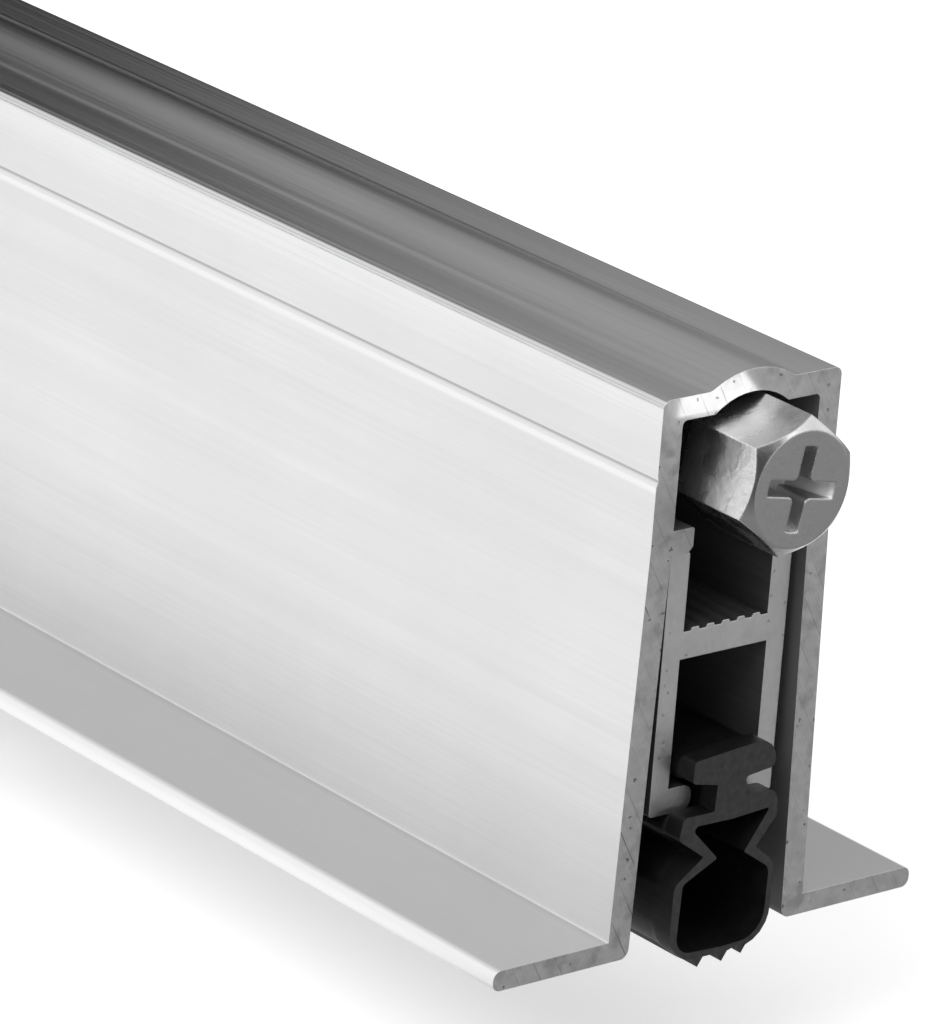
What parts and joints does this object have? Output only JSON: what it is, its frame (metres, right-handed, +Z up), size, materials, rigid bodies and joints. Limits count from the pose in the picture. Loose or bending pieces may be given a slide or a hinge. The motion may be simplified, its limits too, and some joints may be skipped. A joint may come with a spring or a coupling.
{
  "type": "automatic door bottom seal",
  "caption": "Flanged aluminium channel for a door's bottom edge, with a spring-held drop bar, a hollow rubber seal and a screw-adjusted plunger at one end.",
  "frame": {"origin": "mid-length, on the centre plane, at the top of the flanges, where the door's underside rests: the centre of the four flange screw holes", "axes": "+X along the door's bottom edge towards the plunger end, +Y across the door, +Z up into the door"},
  "size_m": [0.3411, 0.0412, 0.047],
  "materials": {
    "mill_aluminium": "mill finish, fine lengthwise brushing",
    "bar_aluminium": "mill finish",
    "black_rubber": "matt black extruded rubber",
    "zinc_steel": "bright zinc plated",
    "plain_steel": "zinc plated steel",
    "spring_steel": "blued spring steel",
    "nylon": "natural nylon"
  },
  "bodies": {
    "housing": {"housing": "mill_aluminium", "plunger_guide": "nylon", "guide_pin": "plain_steel", "anchor_block_1": "nylon", "anchor_block_2": "nylon", "anchor_pin_1": "plain_steel", "anchor_pin_2": "plain_steel", "anchor_eye_pin_1": "plain_steel", "anchor_eye_pin_2": "plain_steel", "bow_spring_1": "spring_steel", "bow_spring_2": "spring_steel"},
    "plunger": {"plunger_rod": "plain_steel", "strip_pin": "plain_steel", "push_strip": "plain_steel", "shoe_1": "plain_steel", "shoe_2": "plain_steel", "shoe_rivet_1": "plain_steel", "shoe_rivet_2": "plain_steel", "shoe_eye_pin_1": "plain_steel", "shoe_eye_pin_2": "plain_steel"},
    "adjuster": {"adjusting_screw": "zinc_steel"},
    "bar": {"drop_bar": "bar_aluminium", "seal_strip": "black_rubber", "spring_saddle_1": "plain_steel", "spring_saddle_2": "plain_steel", "saddle_rivet_1": "plain_steel", "saddle_rivet_2": "plain_steel"}
  },
  "joints": [
    {"name": "plunger_slide", "type": "slide", "parent": "housing", "child": "plunger", "axis": [-1, 0, 0], "range_m": [0, 0.0055], "stiffness_N_per_m": 1500, "springref_m": -0.004},
    {"name": "adjuster_turn", "type": "hinge", "parent": "plunger", "child": "adjuster", "pos_m": [0.1675, 0, 0.0365], "axis": [1, 0, 0], "continuous": true},
    {"name": "bar_drop", "type": "slide", "parent": "housing", "child": "bar", "axis": [-0.2534, 0, -0.9674], "range_m": [0, 0.01086], "deforming": ["bow_spring_1", "bow_spring_2"]}
  ],
  "couplings": [
    {"joint": "bar_drop", "follows": "plunger_slide", "ratio": 1.9735}
  ]
}
